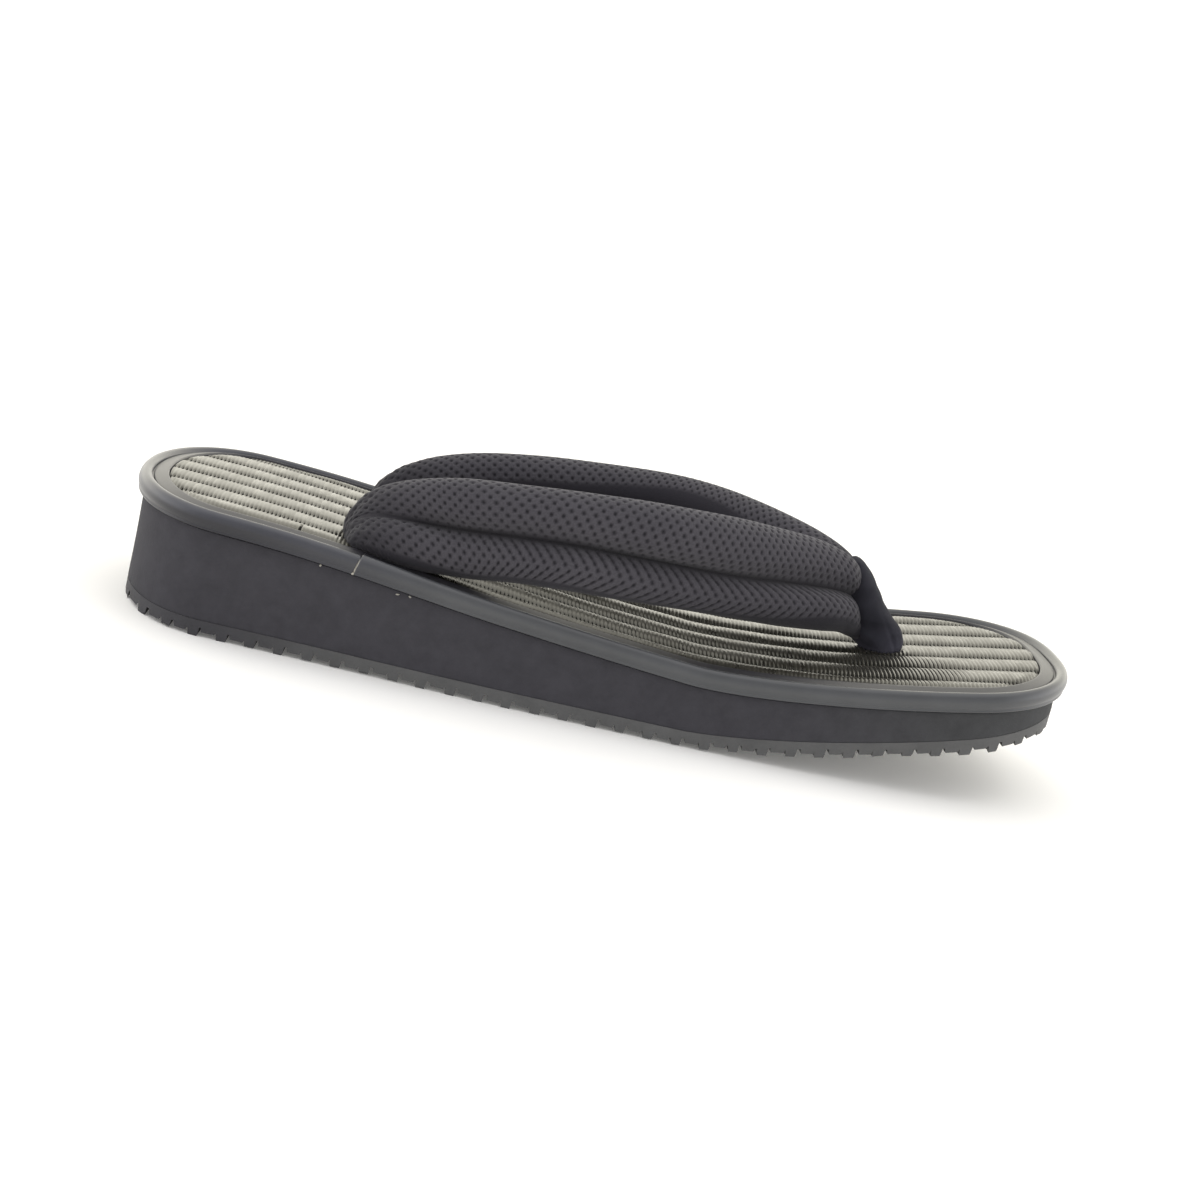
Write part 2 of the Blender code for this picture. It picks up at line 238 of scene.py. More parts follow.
def make_outsole(finish):
    """The tread as rings round the sheet, one at each place along it."""
    width = width_at(OUTSOLE_INSET)
    low = OUTSOLE_INSET
    high = LENGTH - OUTSOLE_INSET
    along = tread_steps(low, high)
    notch_x, notch_depth = np.array(along).T
    # more sections where the ends are rounded, closest together at the tips
    for x in low + (high - low) * (1.0 - np.cos(np.linspace(0.0, math.pi, 121))) / 2.0:
        at_end = x < HEEL_ROUND or x > LENGTH - TOE_ROUND
        if at_end and np.abs(notch_x - x).min() > 0.15:
            along.append((x, float(np.interp(x, notch_x, notch_depth, 0.0, 0.0))))
    along.sort()
    y, groove = np.array(groove_steps()).T
    rings = []
    for x, depth in along:
        half = float(width(x))
        base = float(floor_line(x))
        under = np.clip(y, -half, half)
        cut = np.interp(under, y, groove)
        bottom = [(x, v, base + max(depth, c)) for v, c in zip(under, cut)]
        top = base + OUTSOLE_THICKNESS
        right = [(x, -half, top), (x, -half, top - PLAIN_EDGE)]
        left = [(x, half, top - PLAIN_EDGE), (x, half, top)]
        rings.append(right + bottom + left)
    rows = len(rings)
    faces = [*grid_faces(rows, len(rings[0]), False, True)]
    return add_piece("tread_sheet", rings, faces, "outsole", finish, sharp=50.0)


def node_of(tree, kind, **values):
    """A shader node of a kind, with plain values for its settings and sockets."""
    node = tree.nodes.new(kind)
    for name, value in values.items():
        if hasattr(node, name):
            setattr(node, name, value)
        else:
            node.inputs[name.replace("_", " ").title()].default_value = value
    return node


def plain_finish(name, color, roughness, specular=0.5):
    """A material with a Principled shader, and its tree and shader for more nodes."""
    finish = bpy.data.materials.new(name)
    finish.use_nodes = True
    shader = finish.node_tree.nodes["Principled BSDF"]
    shader.inputs["Base Color"].default_value = (*color, 1.0)
    shader.inputs["Roughness"].default_value = roughness
    shader.inputs["Specular IOR Level"].default_value = specular
    return finish, finish.node_tree, shader


def give(tree, value, socket):
    """Joins an output socket to an input socket, or sets a plain number or colour on it."""
    if isinstance(value, bpy.types.NodeSocket):
        tree.links.new(value, socket)
    elif isinstance(value, tuple):
        socket.default_value = (*value, 1.0)
    else:
        socket.default_value = value


def math_of(tree, operation, first, second=None):
    """One step of arithmetic on one or two values."""
    node = node_of(tree, "ShaderNodeMath", operation=operation)
    give(tree, first, node.inputs[0])
    if second is not None:
        give(tree, second, node.inputs[1])
    return node.outputs[0]


def remapped(tree, value, low, high, to_low=0.0, to_high=1.0, curve="LINEAR"):
    """The value moved from the range low to high to the range to_low to to_high."""
    node = node_of(tree, "ShaderNodeMapRange", interpolation_type=curve)
    node.inputs["From Min"].default_value = low
    node.inputs["From Max"].default_value = high
    node.inputs["To Min"].default_value = to_low
    node.inputs["To Max"].default_value = to_high
    give(tree, value, node.inputs["Value"])
    return node.outputs["Result"]


def blended(tree, share, color, other, how="MIX"):
    """A colour with a share of the other one mixed in or multiplied onto it."""
    node = node_of(tree, "ShaderNodeMix", data_type="RGBA", blend_type=how)
    give(tree, share, node.inputs["Factor"])
    give(tree, color, node.inputs["A"])
    give(tree, other, node.inputs["B"])
    return node.outputs["Result"]


def roughen(tree, shader, height, strength):
    """Fine relief from a height, 0.2 mm deep at full strength."""
    bump = node_of(tree, "ShaderNodeBump", strength=strength, distance=0.2 * MM)
    give(tree, height, bump.inputs["Height"])
    give(tree, bump.outputs["Normal"], shader.inputs["Normal"])


def moulded_grain():
    """A node group: fine grain, mottle and cloudiness of moulded rubber, foam and vinyl.

    Toe is 0 behind Toe From and 1 ahead of Toe To, both in metres along the sole.
    """
    group = bpy.data.node_groups.new("moulded_grain", "ShaderNodeTree")
    face = group.interface
    sizes = (("Grain Size", 0.5), ("Cloud Size", 12.0), ("Toe From", 0.0), ("Toe To", 0.1))
    for name, value in sizes:
        socket = face.new_socket(name, in_out="INPUT", socket_type="NodeSocketFloat")
        socket.default_value = value
    for name in ("Height", "Cloud", "Toe"):
        face.new_socket(name, in_out="OUTPUT", socket_type="NodeSocketFloat")
    given = node_of(group, "NodeGroupInput")
    result = node_of(group, "NodeGroupOutput")
    place = node_of(group, "ShaderNodeTexCoord")
    for size, detail, output in (("Grain Size", 3.0, "Height"), ("Cloud Size", 6.0, "Cloud")):
        scale = math_of(group, "DIVIDE", 1.0 / MM, given.outputs[size])
        texture = node_of(group, "ShaderNodeTexNoise", detail=detail, roughness=0.68)
        give(group, place.outputs["Object"], texture.inputs["Vector"])
        give(group, scale, texture.inputs["Scale"])
        give(group, texture.outputs["Fac"], result.inputs[output])
    apart = node_of(group, "ShaderNodeSeparateXYZ")
    toe = node_of(group, "ShaderNodeMapRange", interpolation_type="SMOOTHSTEP")
    give(group, place.outputs["Object"], apart.inputs[0])
    give(group, apart.outputs["X"], toe.inputs["Value"])
    give(group, given.outputs["Toe From"], toe.inputs["From Min"])
    give(group, given.outputs["Toe To"], toe.inputs["From Max"])
    give(group, toe.outputs["Result"], result.inputs["Toe"])
    return group


GRAIN = moulded_grain()


def grained(name, color, toe_color, toe, roughness, grain, cloud, depth, specular=0.5):
    """A moulded finish: grain in its surface, cloudy colour and gloss, and a colour that changes
    along the sole.

    The colour turns into toe_color between the two places of toe along the sole. grain and
    cloud are the sizes of the grain and of the clouds, and depth is how strong the grain is.
    """
    finish, tree, shader = plain_finish(name, color, roughness, specular)
    group = node_of(tree, "ShaderNodeGroup", node_tree=GRAIN)
    group.inputs["Grain Size"].default_value = grain
    group.inputs["Cloud Size"].default_value = cloud
    group.inputs["Toe From"].default_value = (toe[0] - LENGTH / 2.0) * MM
    group.inputs["Toe To"].default_value = (toe[1] - LENGTH / 2.0) * MM
    base = blended(tree, group.outputs["Toe"], color, toe_color)
    mottle = remapped(tree, group.outputs["Cloud"], 0.3, 0.7, 0.86, 1.14)
    give(tree, blended(tree, 1.0, base, mottle, "MULTIPLY"), shader.inputs["Base Color"])
    gloss = remapped(tree, group.outputs["Cloud"], 0.0, 1.0, roughness - 0.06, roughness + 0.08)
    give(tree, gloss, shader.inputs["Roughness"])
    roughen(tree, shader, group.outputs["Height"], depth)
    return finish


# the rubber is painted darker by the heel, as painted shade, and paler from there on
make_outsole(grained(
    "tread rubber", (0.046, 0.045, 0.05), (0.096, 0.096, 0.096), (30.0, 70.0),
    0.7, 0.5, 9.0, 0.35, 0.3,
))

# ------------------------------------------------------------------------------- midsole
# The wedge is one block of matt black closed-cell foam, thick at the heel and thin at the toe,
# ground to shape. It is glued between the outsole and the footbed.

MIDSOLE_INSET = 2.0
RIM_HEIGHT = 5.4
GAP = 0.3                  # the rim lies this far over the foam
SOLE_STEPS = 300           # steps along each side of the outline


def around(inset, steps):
    """The whole outline moved in by a distance, and its normals, the left side first."""
    place, normal = outline(steps)
    moved = place - normal * inset
    moved[[0, -1], 1] = 0.0
    flip = np.array((1.0, -1.0))
    whole = np.concatenate((moved, moved[-2:0:-1] * flip))
    facing = np.concatenate((normal, normal[-2:0:-1] * flip))
    return whole, facing


def bed_line(x):
    """Height of the midsole's top, which carries the rim and the mat."""
    return top_line(x) - RIM_HEIGHT - GAP


def make_midsole(finish):
    """Rings of the wall from the bottom up, with both flats bridged from side to side."""
    # the wall's rounded edge, in from the wall and up from the edge
    wall = ((0.25, 0.0), (0.08, 0.08), (0.0, 0.3))
    rings = []
    under = [(inset, 0.0, up) for inset, up in wall]
    over = [(inset, 1.0, -up) for inset, up in reversed(wall)]
    # the ground foam is very slightly hollow
    middle = [(0.12 * math.sin(math.pi * t), t, 0.0) for t in (0.15, 0.3, 0.5, 0.7, 0.85)]
    for inset, share, shift in under + middle + over:
        flat, _ = around(MIDSOLE_INSET + inset, SOLE_STEPS)
        x = flat[:, 0]
        bottom = floor_line(x) + OUTSOLE_THICKNESS
        z = bottom + (bed_line(x) - bottom) * share + shift
        rings.append(np.column_stack((flat, z)))
    rows = len(rings)
    count = len(rings[0])
    faces = [*grid_faces(rows, count, False, True)]
    faces += bridge(count, 0) + bridge(count, (rows - 1) * count)
    return add_piece("foam_wedge", rings, faces, "midsole", finish)


def bridge(count, start):
    """Faces across a ring of points, between those that face each other over the middle."""
    faces = []
    for k in range(count // 2):
        left = (start + k, start + k + 1)
        right = (start + (count - k - 1) % count, start + (count - k) % count)
        faces.append(tuple(dict.fromkeys((*left, *right))))
    return faces


make_midsole(grained(
    "wedge foam", (0.048, 0.0465, 0.0535), (0.054, 0.055, 0.057), (170.0, 240.0),
    0.85, 0.8, 6.0, 0.5, 0.2,
))

# ----------------------------------------------------------------------------------- rim
# A soft vinyl moulding goes round the footbed: a round bead that overhangs the wedge, then a
# groove, a flat strip and a second groove along the mat. It is one length, and its two ends
# butt on the right side by the heel, where a thread of pale glue shows.

# distance in from the outer edge, height under the top of the rim
RIM_SECTION = (
    (1.9, 5.4), (0.95, 5.39), (0.55, 5.28), (0.4, 5.08), (0.42, 4.86), (0.52, 4.66), (0.5, 4.46),
    (0.3, 4.12), (0.08, 3.5), (0.0, 2.9), (0.06, 2.2), (0.24, 1.55), (0.55, 0.98), (0.95, 0.55),
    (1.45, 0.26), (2.0, 0.16), (2.5, 0.26), (2.95, 0.5), (3.25, 0.85), (3.42, 1.2), (3.52, 1.6),
    (3.74, 1.6), (3.86, 1.3), (4.05, 1.12), (4.4, 1.0), (5.3, 0.76), (6.3, 0.5), (7.2, 0.26),
    (7.5, 0.22), (7.75, 0.45), (7.84, 1.2), (7.84, 5.4),
)
SEAM_X = 64.3              # where the rim's two ends meet
SEAM_WIDTH = 0.4
SEAM_DEPTH = 0.4
SEAM_LEAN = 0.24           # the cut leans forward by this share of its height
SEAM_STEP = 0.45           # how much the front end stands proud of the rear one
SEAM_FADE = 22.0           # over this length the step fades out
SEAM_FINE = (2.6, 0.13)    # half length and pitch of the extra sections at the seam
RIM_STEPS = 360            # steps along each side of the outline
BEAD_SIDE = 3.0            # the bead is widest this far down
BEAD_EDGE = 3.5            # it ends this far in
BEAD_SHADE = (90.0, 30.0)  # between these places painted shade darkens the bead underneath
STRIP_ROUGHNESS = 0.38


def cloth_place(tree):
    """The three values that each point of the piece carries as its place."""
    place = node_of(tree, "ShaderNodeAttribute", attribute_name="cloth_place")
    apart = node_of(tree, "ShaderNodeSeparateXYZ")
    give(tree, place.outputs["Vector"], apart.inputs[0])
    return tuple(apart.outputs)


def make_rim(finish):
    """The rim's section carried round the outline, with extra sections at the seam."""
    place, normal = around(0.0, RIM_STEPS)
    count = len(place)
    steps = np.hypot(*(np.roll(place, -1, 0) - place).T)
    run = np.concatenate(([0.0], np.cumsum(steps)))
    right = np.arange(count // 2 + 1, count)
    seam = right[np.argmin(np.abs(place[right, 0] - SEAM_X))]
    seam_run = run[seam]
    reach, pitch = SEAM_FINE
    extra = seam_run + np.arange(-reach, reach + 0.1, pitch)
    kept = run[:-1][np.abs(run[:-1] - seam_run) > reach + 0.1]
    at = np.sort(np.concatenate((kept, extra)))
    closed = [np.append(value, value[0]) for value in (*place.T, *normal.T)]
    x, y, nx, ny = [np.interp(at, run, value) for value in closed]
    rings = []
    places = []
    for inward, down in RIM_SECTION:
        off = at - seam_run - SEAM_LEAN * (down - BEAD_SIDE)
        dip = SEAM_DEPTH * np.exp(-(off / (SEAM_WIDTH / 2.0)) ** 2)
        proud = SEAM_STEP * np.where(off < 0.0, smooth_step(-SEAM_FADE, -0.1, off), 0.0)
        shift = (dip - proud) * (1.0 if inward < BEAD_EDGE else 0.35)
        # the bead's side moves inward at the seam, and its top moves down
        shift_in, shift_down = (0.8, 0.15) if down > 0.6 else (0.1, 0.9)
        move = inward + shift * shift_in
        px = x - nx * move
        py = y - ny * move
        z = top_line(px) - down - shift * shift_down
        rings.append(np.column_stack((px, py, z)))
        places.append(np.column_stack((off, np.full(len(off), down), np.full(len(off), inward))))
    rows = len(rings)
    faces = [*grid_faces(rows, len(at), True, True)]
    return add_piece("rim_moulding", rings, faces, "rim", finish, np.concatenate(places))


def rim_finish():
    """Smooth dark vinyl, painted darker by the heel as painted shade, which also darkens the strip
    inside the bead and, toward the heel, the bead underneath. A thread of pale glue lies in the
    seam."""
    # painted shade: the vinyl is darker behind 40 mm and turns paler up to 95 mm
    finish = grained(
        "rim vinyl", (0.048, 0.049, 0.06), (0.056, 0.058, 0.062), (40.0, 95.0),
        0.3, 0.35, 25.0, 0.12, 0.55,
    )
    tree = finish.node_tree
    shader = tree.nodes["Principled BSDF"]
    color = shader.inputs["Base Color"].links[0].from_socket
    gloss = shader.inputs["Roughness"].links[0].from_socket
    off_seam, down, inward = cloth_place(tree)
    # the strip starts in the groove behind the bead
    on_strip = remapped(tree, inward, 3.45, 3.75)
    # painted shade darkens the strip's colour
    color = blended(tree, on_strip, color, (0.46, 0.43, 0.45), "MULTIPLY")
    spot = node_of(tree, "ShaderNodeTexCoord")
    apart = node_of(tree, "ShaderNodeSeparateXYZ")
    give(tree, spot.outputs["Object"], apart.inputs[0])
    heel = [(x - LENGTH / 2.0) * MM for x in BEAD_SHADE]
    by_heel = remapped(tree, apart.outputs["X"], *heel)
    # painted shade on the lower half of the bead, by the heel
    painted_shade_under_bead = math_of(tree, "MULTIPLY", by_heel, remapped(tree, down, 1.2, 2.8))
    color = blended(tree, painted_shade_under_bead, color, (0.2, 0.19, 0.24), "MULTIPLY")
    # the thread of glue thins out toward the top of the bead
    thread = remapped(tree, math_of(tree, "ABSOLUTE", off_seam), 0.27, 0.12)
    glue = math_of(tree, "MULTIPLY", thread, remapped(tree, down, 0.5, 2.2))
    color = blended(tree, glue, color, (0.4, 0.38, 0.33))
    give(tree, color, shader.inputs["Base Color"])
    strip_gloss = node_of(tree, "ShaderNodeMix")
    give(tree, on_strip, strip_gloss.inputs["Factor"])
    give(tree, gloss, strip_gloss.inputs["A"])
    give(tree, STRIP_ROUGHNESS, strip_gloss.inputs["B"])
    give(tree, strip_gloss.outputs["Result"], shader.inputs["Roughness"])
    return finish


make_rim(rim_finish())

# ------------------------------------------------------------------------------ glue crumbs
# Small blobs of the pale glue that holds the rim down were squeezed out under its edge and
# stayed on the foam wall.

# x, height, distance in from the rim's edge, radius along the wall, radius up the wall
GLUE_CRUMBS = (
    (55.3, 25.6, 2.0, 0.35, 0.3),
    (63.9, 25.8, 0.55, 0.45, 0.42),
    (76.0, 22.9, 2.0, 0.5, 0.25),
    (79.2, 23.0, 2.0, 0.4, 0.25),
)
CRUMB_HEIGHT = 0.3
CRUMB_LEVELS = 4
CRUMB_POINTS = 12


def make_glue_crumbs(finish):
    """A flat dome for each crumb, on the right side of the sandal."""
    points = []
    faces = []
    for x, z, inset, long, high in GLUE_CRUMBS:
        y = -float(width_at(inset)(x))
        start = len(points)
        for level in range(CRUMB_LEVELS):
            turn = level * math.pi / 2.0 / (CRUMB_LEVELS - 1)
            for k in range(CRUMB_POINTS):
                way = 2.0 * math.pi * k / CRUMB_POINTS + 0.3 * level
                size = math.cos(turn) * (1.0 + 0.18 * math.sin(2.0 * way + x))
                step_x = long * size * math.cos(way)
                step_y = 0.05 - CRUMB_HEIGHT * math.sin(turn)
                step_z = high * size * math.sin(way)
                points.append((x + step_x, y + step_y, z + step_z))
        ring_faces = grid_faces(CRUMB_LEVELS, CRUMB_POINTS, False, True)
        faces += [tuple(start + corner for corner in face) for face in ring_faces]
    return add_piece("glue_crumbs", points, faces, None, finish)


crumbs = make_glue_crumbs(plain_finish("dry glue", (0.42, 0.4, 0.35), 0.6, 0.3)[0])

# ----------------------------------------------------------------------------------- mat
# The footbed is a mat of thin glossy vinyl strands, laid side by side across the foot and held
# down by threads along it, like the rush mat of a traditional setta. Between the threads they
# bulge up into ribs, and along each thread they leave a row of small dark gaps.

MAT_INSET = 7.95
MAT_SINK = 0.1             # the ribs' crowns lie this far below the top of the rim
MAT_GAP = 0.1              # the mat's underside lies this far over the foam
MAT_EDGE = 0.06            # from the mat's two ends to the first strand
RIB_PITCH = 12.6
RIBS = 7                   # where the mat is widest
# x, how far the ribs have drifted to the left there, how high the strands stand out, how high
# the ribs stand, which are pressed flat by the heel and the toes
MAT_RUN = (
    (0.0, 4.6, 0.12, 0.45),
    (22.0, 4.0, 0.12, 0.45),
    (50.0, 1.8, 0.14, 0.55),
    (90.0, -1.0, 0.16, 1.0),
    (130.0, -2.9, 0.2, 1.2),
    (160.0, -0.9, 0.2, 1.2),
    (190.0, -2.2, 0.2, 1.0),
    (224.0, -1.5, 0.15, 0.6),
    (260.0, 0.4, 0.12, 0.5),
)
STRAND_PITCH = 1.1
# the mat's sides roll down: over this width, and how deep, and how dark with painted shade, for
# each mm of rib height
EDGE_ROLL = (3.8, 1.2, 0.85)
# where the toe post has pulled the strands apart: x, y, half length, half width, extra height
LOOSE_STRANDS = (211.0, -24.0, 20.0, 17.0, 0.3)
GAP_DEPTH = 0.5            # the gaps between the strands along each thread
GAP_REACH = 1.5            # they reach this far along the strands from their middle
GAP_SHIFT = 0.6            # which lies a little to the left of the thread
SWAY = 0.06                # slow rise and fall along each rib, opposite in neighbours
SWAY_PITCH = 22.0
NICK = (47.6, 0.35, 0.9, -33.0)   # a cut in the mat's right edge: x, half width, depth, inner end
# where the thong and the toe post pull the mat down: x, y, half length, half width
MAT_HOLES = (
    (68.2, 25.6, 5.6, 6.6),
    (66.2, -25.6, 5.6, 6.6),
    (210.4, 0.0, 5.6, 5.4),
)
HOLE_DEPTH = 3.2           # how far down it goes at a hole's edge
HOLE_DISH = 0.35           # and how far it is dished round the hole


def mat_height(x, y):
    """Height of the mat under the crowns of its ribs, and how deep in a gap each point is."""
    rib = (y - between(MAT_RUN, 1, x)) / RIB_PITCH + RIBS / 2.0
    across = np.abs(2.0 * (rib - np.floor(rib)) - 1.0)
    swell = 1.0 - 0.6 * across**2 - 0.4 * across**5
    # 1 along the back of each strand, 0 between two strands
    ridge = np.abs(np.cos(math.pi * x / STRAND_PITCH)) ** 0.7
    loose_x, loose_y, loose_long, loose_wide, loose_height = LOOSE_STRANDS
    loose = np.exp(-(((x - loose_x) / loose_long) ** 2) - ((y - loose_y) / loose_wide) ** 2)
    strand = between(MAT_RUN, 2, x) + loose_height * loose
    off = (rib - np.round(rib)) * RIB_PITCH - GAP_SHIFT
    gap = np.exp(-((off / GAP_REACH) ** 2)) * (1.0 - ridge**1.6)
    side = np.where(np.floor(rib) % 2 == 0, 1.0, -1.0)
    sway = SWAY * side * np.tanh(2.5 * np.sin(2.0 * math.pi * x / SWAY_PITCH)) * swell
    nick = np.exp(-(((x - NICK[0]) / NICK[1]) ** 2)) * smooth_step(NICK[3], NICK[3] - 1.0, y)
    height = between(MAT_RUN, 3, x) * (swell - 1.0) + strand * (ridge - 1.0) + sway
    dark = np.maximum(np.maximum(gap, nick), 1.3 * loose * (1.0 - ridge**1.6))
    return height - GAP_DEPTH * gap - NICK[2] * nick, dark


def mat_pull(x, y):
    """How far the mat is pulled down round the holes of the thong and the toe post."""
    pull = np.zeros_like(x)
    for hole_x, hole_y, half_length, half_wide in MAT_HOLES:
        reach = np.hypot((x - hole_x) / half_length, (y - hole_y) / half_wide)
        pull = np.maximum(pull, HOLE_DEPTH * smooth_step(1.12, 0.86, reach))
        pull = pull + HOLE_DISH * smooth_step(1.7, 1.0, reach) * (pull < HOLE_DEPTH - 0.2)
    return np.minimum(pull, HOLE_DEPTH + 0.2)


def make_mat(finish):
    """Rows of points across the mat, with its two sides let down to the foam."""
    width = width_at(MAT_INSET)
    low = MAT_INSET
    high = LENGTH - MAT_INSET
    step = STRAND_PITCH / 5.0
    x = np.arange(math.ceil(low / step) + 1, math.floor(high / step)) * step
    x = np.concatenate(([low], [low + MAT_EDGE], x, [high - MAT_EDGE], [high]))
    # points across one rib, closest together by the thread
    parts = np.array((0.0, 0.03, 0.07, 0.11, 0.16, 0.22, 0.3, 0.44, 0.6, 0.75, 0.86, 0.92, 0.965))
    edge = RIBS * RIB_PITCH / 2.0
    y = np.concatenate([(k + parts) * RIB_PITCH - edge for k in range(-1, RIBS + 1)])
    half = width(x)[:, None]
    gx = np.repeat(x[:, None], len(y), 1)
    gy = np.clip(y[None, :] + between(MAT_RUN, 1, gx), -half, half)
    height, gap = mat_height(gx, gy)
    gz = top_line(gx) - MAT_SINK - mat_pull(gx, gy) + height
    roll = smooth_step(EDGE_ROLL[0], 0.0, half - np.abs(gy)) * between(MAT_RUN, 3, gx)
    gz = gz - EDGE_ROLL[1] * roll
    # painted shade on the rolled-down sides goes with the dark gaps
    gap = np.maximum(gap, EDGE_ROLL[2] * roll)
    top = np.stack((gx, gy, gz), -1)
    base = bed_line(gx[:, :1]) + MAT_GAP
    foot_left = np.stack((gx[:, :1], -half, base), -1)
    foot_right = np.stack((gx[:, :1], half, base), -1)
    rings = np.concatenate((foot_left, top, foot_right), 1)
    rows, columns = rings.shape[:2]
    faces = [*grid_faces(rows, columns, False, True)]
    places = np.stack((gx, gy, gap), -1)
    blank = places[:, :1]
    places = np.concatenate((blank, places, places[:, -1:]), 1)
    return add_piece("woven_mat", rings, faces, "footbed_mat", finish, places.reshape(-1, 3))


def strand_chance():
    """A node group: a chance value for each strand of each rib, from the mat's own places."""
    group = bpy.data.node_groups.new("strand_chance", "ShaderNodeTree")
    for name in ("Gap And Shade", "Chance"):
        group.interface.new_socket(name, in_out="OUTPUT", socket_type="NodeSocketFloat")
    result = node_of(group, "NodeGroupOutput")
    x, y, gap = cloth_place(group)
    seed = node_of(group, "ShaderNodeCombineXYZ")
    strand = math_of(group, "ROUND", math_of(group, "DIVIDE", x, STRAND_PITCH))
    rib = math_of(group, "FLOOR", math_of(group, "DIVIDE", y, RIB_PITCH))
    give(group, strand, seed.inputs["X"])
    give(group, rib, seed.inputs["Y"])
    chance = node_of(group, "ShaderNodeTexWhiteNoise")
    give(group, seed.outputs[0], chance.inputs["Vector"])
    give(group, chance.outputs["Value"], result.inputs["Chance"])
    give(group, gap, result.inputs["Gap And Shade"])
    return group


def mat_finish():
    """Warm grey-black vinyl with a clear gloss. Each strand has its own slight tint and gloss,
    and the gaps between the strands are dull and almost black. Painted shade darkens the mat's
    sides where they roll down."""
    finish, tree, shader = plain_finish("mat vinyl", (0.024, 0.022, 0.018), 0.2, 0.5)
    shader.inputs["Specular Tint"].default_value = (1.0, 0.975, 0.86, 1.0)
    group = node_of(tree, "ShaderNodeGroup", node_tree=strand_chance())
    gap_and_edge_shade = remapped(tree, group.outputs["Gap And Shade"], 0.25, 0.6)
    tint = remapped(tree, group.outputs["Chance"], 0.0, 1.0, 0.8, 1.25)
    color = blended(tree, 1.0, (0.03, 0.028, 0.022), tint, "MULTIPLY")
    color = blended(tree, gap_and_edge_shade, color, (0.005, 0.005, 0.005))
    give(tree, color, shader.inputs["Base Color"])
    gloss = remapped(tree, group.outputs["Chance"], 0.0, 1.0, 0.26, 0.34)
    give(tree, math_of(tree, "MAXIMUM", gloss, gap_and_edge_shade), shader.inputs["Roughness"])
    return finish


make_mat(mat_finish())

# ------------------------------------------------------------------------------- toe post
# The toe post is a loop of black velvet round the front of the thong. Its two ends go down
# together through the mat, so that a crease runs up the middle of its lower part.

# z, back, widest place, front, half width
POST_SECTIONS = (
    (19.0, 206.0, 210.0, 214.0, 4.5),
    (25.5, 205.2, 210.0, 215.2, 5.2),
    (28.4, 200.4, 208.0, 216.1, 6.2),
    (30.8, 195.6, 204.4, 216.0, 7.4),
    (34.0, 193.6, 202.2, 213.6, 8.8),
    (38.0, 193.0, 201.2, 209.2, 9.2),
    (42.0, 193.0, 200.2, 205.8, 8.6),
    (46.0, 193.2, 198.9, 203.4, 7.2),
    (48.6, 194.4, 197.8, 200.6, 5.6),
    (50.0, 195.4, 197.2, 198.8, 4.0),
    (50.5, 196.3, 197.1, 197.9, 2.0),
)
POST_AROUND = 120
POST_ROWS = 130
POST_MEAN = 2.4            # each ring is a mean of the sections this far up and down
BACK_POWER = 1.6
FRONT_POWER = 1.9
# soft creases of the velvet: turn round the post, z, half height, half width, depth
POST_CREASES = (
    (-0.86, 30.6, 4.6, 0.09, 0.42),
    (-1.75, 33.4, 1.3, 0.22, 0.25),
    (-1.15, 36.6, 0.9, 0.5, 0.15),
    (0.9, 31.0, 4.0, 0.1, 0.35),
    (1.6, 35.0, 1.2, 0.4, 0.2),
    (-0.3, 43.5, 3.0, 0.15, 0.14),
)


def oval(turn, power_back, power_front):
    """Unit oval whose back and front halves are rounded differently."""
    c = np.cos(turn)
    s = np.sin(turn)
    power = np.where(c < 0.0, power_back, power_front)
    x = np.sign(c) * np.abs(c) ** (2.0 / power)
    y = np.sign(s) * np.abs(s) ** (2.0 / power)
    return x, y


def make_post(finish):
    """Rings of the post from the mat up, closer together toward its rounded top."""
    low = POST_SECTIONS[0][0]
    high = POST_SECTIONS[-1][0]
    turn = np.linspace(0.0, 2.0 * math.pi, POST_AROUND, endpoint=False)
    unit_x, unit_y = oval(turn, BACK_POWER, FRONT_POWER)
    rings = []
    places = []
    for z in low + (high - low) * np.sin(np.linspace(0.0, math.pi / 2.0, POST_ROWS)):
        near_z = z + min(POST_MEAN, 0.6 * (high - z)) * np.linspace(-1.0, 1.0, 9)
        back, widest, front, half = [between(POST_SECTIONS, k, near_z).mean() for k in (1, 2, 3, 4)]
        x = widest + unit_x * np.where(unit_x < 0.0, widest - back, front - widest)
        y = unit_y * half
        signed = np.where(turn > math.pi, turn - 2.0 * math.pi, turn)
        # the cloth is slightly uneven, and each crease has a low lip on both sides
        swell = 0.1 * np.sin(0.8 * z + 2.0 * turn) + 0.08 * np.sin(1.5 * z - 3.0 * turn + 1.0)
        for mid_turn, mid_z, high_by, wide_by, depth in POST_CREASES:
            near = ((signed - mid_turn) / wide_by) ** 2 + ((z - mid_z) / high_by) ** 2
            swell = swell - depth * np.exp(-near)
            lip = ((signed - mid_turn) / (2.6 * wide_by)) ** 2 + ((z - mid_z) / high_by) ** 2
            swell = swell + 0.35 * depth * np.exp(-lip)
        x = x + np.cos(turn) * swell
        y = y + np.sin(turn) * swell
        rings.append(np.column_stack((x, y, np.full_like(x, z))))
        places.append(np.tile((z, 0.0, 0.0), (POST_AROUND, 1)))
    rows = len(rings)
    faces = [*grid_faces(rows, POST_AROUND, False, True)]
    faces += [tuple(range(POST_AROUND))]
    faces += [tuple(range((rows - 1) * POST_AROUND, rows * POST_AROUND))]
    return add_piece("velvet_loop", rings, faces, "toe_post", finish, np.concatenate(places))


def noise_of(tree, scale, detail):
    """Noise in the piece's own space, with about as many lumps to the metre as scale says."""
    spot = node_of(tree, "ShaderNodeTexCoord")
    texture = node_of(tree, "ShaderNodeTexNoise", scale=scale, detail=detail)
    give(tree, spot.outputs["Object"], texture.inputs["Vector"])
    return texture.outputs["Fac"]


